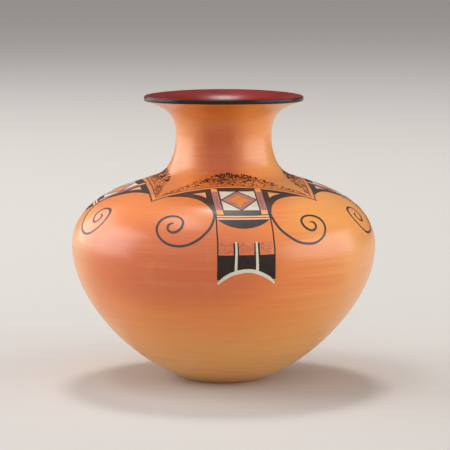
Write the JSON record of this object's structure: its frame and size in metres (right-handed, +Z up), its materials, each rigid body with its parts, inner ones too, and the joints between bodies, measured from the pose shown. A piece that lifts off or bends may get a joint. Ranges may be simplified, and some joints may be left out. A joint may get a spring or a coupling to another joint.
{
  "type": "pottery jar",
  "caption": "Round-bellied coil-built pottery jar with a low curved shoulder, a narrow neck, a wide flared lip and a small flat foot.",
  "frame": {"origin": "middle of the flat foot, on the surface that the jar stands on", "axes": "+Z up along the jar's axis of turning, -Y towards the side with the main painted panel"},
  "size_m": [0.21, 0.21, 0.1967],
  "materials": {
    "clay": "stone-polished, satin",
    "red_slip": "polished slip, satin",
    "dark_paint": "mineral paint, satin"
  },
  "bodies": {
    "root": {"base": "clay", "lower_coil_1": "clay", "lower_coil_2": "clay", "lower_coil_3": "clay", "belly_coil": "clay", "shoulder_coil_1": "clay", "shoulder_coil_2": "clay", "neck_coil_1": "clay", "neck_coil_2": "clay", "rim_coil": "clay", "mouth_slip": "red_slip", "rim_band": "dark_paint"}
  },
  "joints": []
}
